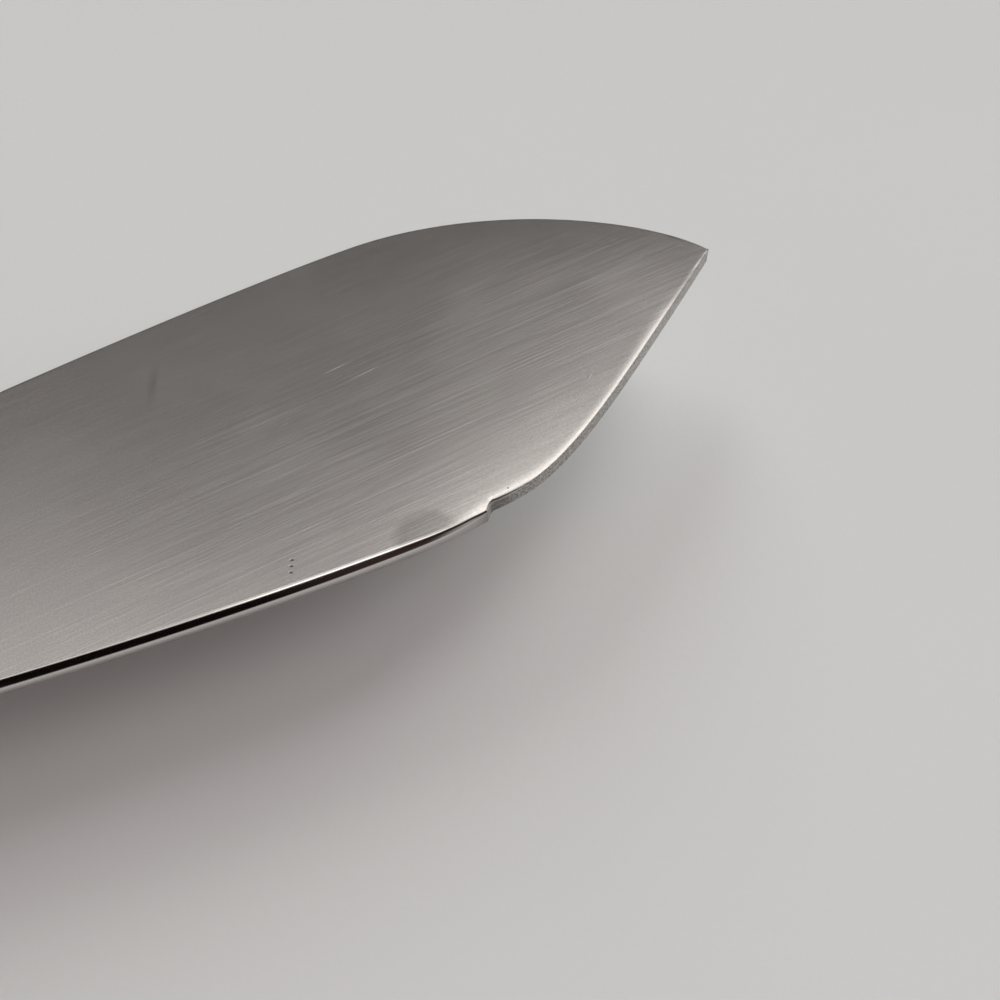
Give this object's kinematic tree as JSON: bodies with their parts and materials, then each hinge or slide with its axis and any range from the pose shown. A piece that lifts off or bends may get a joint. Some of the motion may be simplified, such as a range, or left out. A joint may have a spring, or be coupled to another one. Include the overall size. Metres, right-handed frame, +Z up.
{
  "type": "butter spreader",
  "caption": "Butter spreader with a leaf-shaped brushed steel blade on a full tang, steel bolsters and wooden handle scales held by brass rivets.",
  "frame": {"origin": "middle of the box on the surface that the spreader lies on, under its right-hand scale", "axes": "+X from the handle to the tip, +Y from the spine to the spreading edge, +Z up through the thickness"},
  "size_m": [0.166, 0.0228, 0.01],
  "materials": {
    "blade_steel": "satin, brushed along the blade",
    "bolster_steel": "polished",
    "handle_wood": "oiled dark hardwood",
    "rivet_brass": "ground flush and buffed"
  },
  "bodies": {
    "root": {"blade": "blade_steel", "bolster_left": "bolster_steel", "bolster_right": "bolster_steel", "bolster_pin_front": "bolster_steel", "bolster_pin_rear": "bolster_steel", "handle_scale_left": "handle_wood", "handle_scale_right": "handle_wood", "rivet_front_male": "rivet_brass", "rivet_front_female": "rivet_brass", "rivet_middle_male": "rivet_brass", "rivet_middle_female": "rivet_brass", "rivet_rear_male": "rivet_brass", "rivet_rear_female": "rivet_brass"}
  },
  "joints": []
}
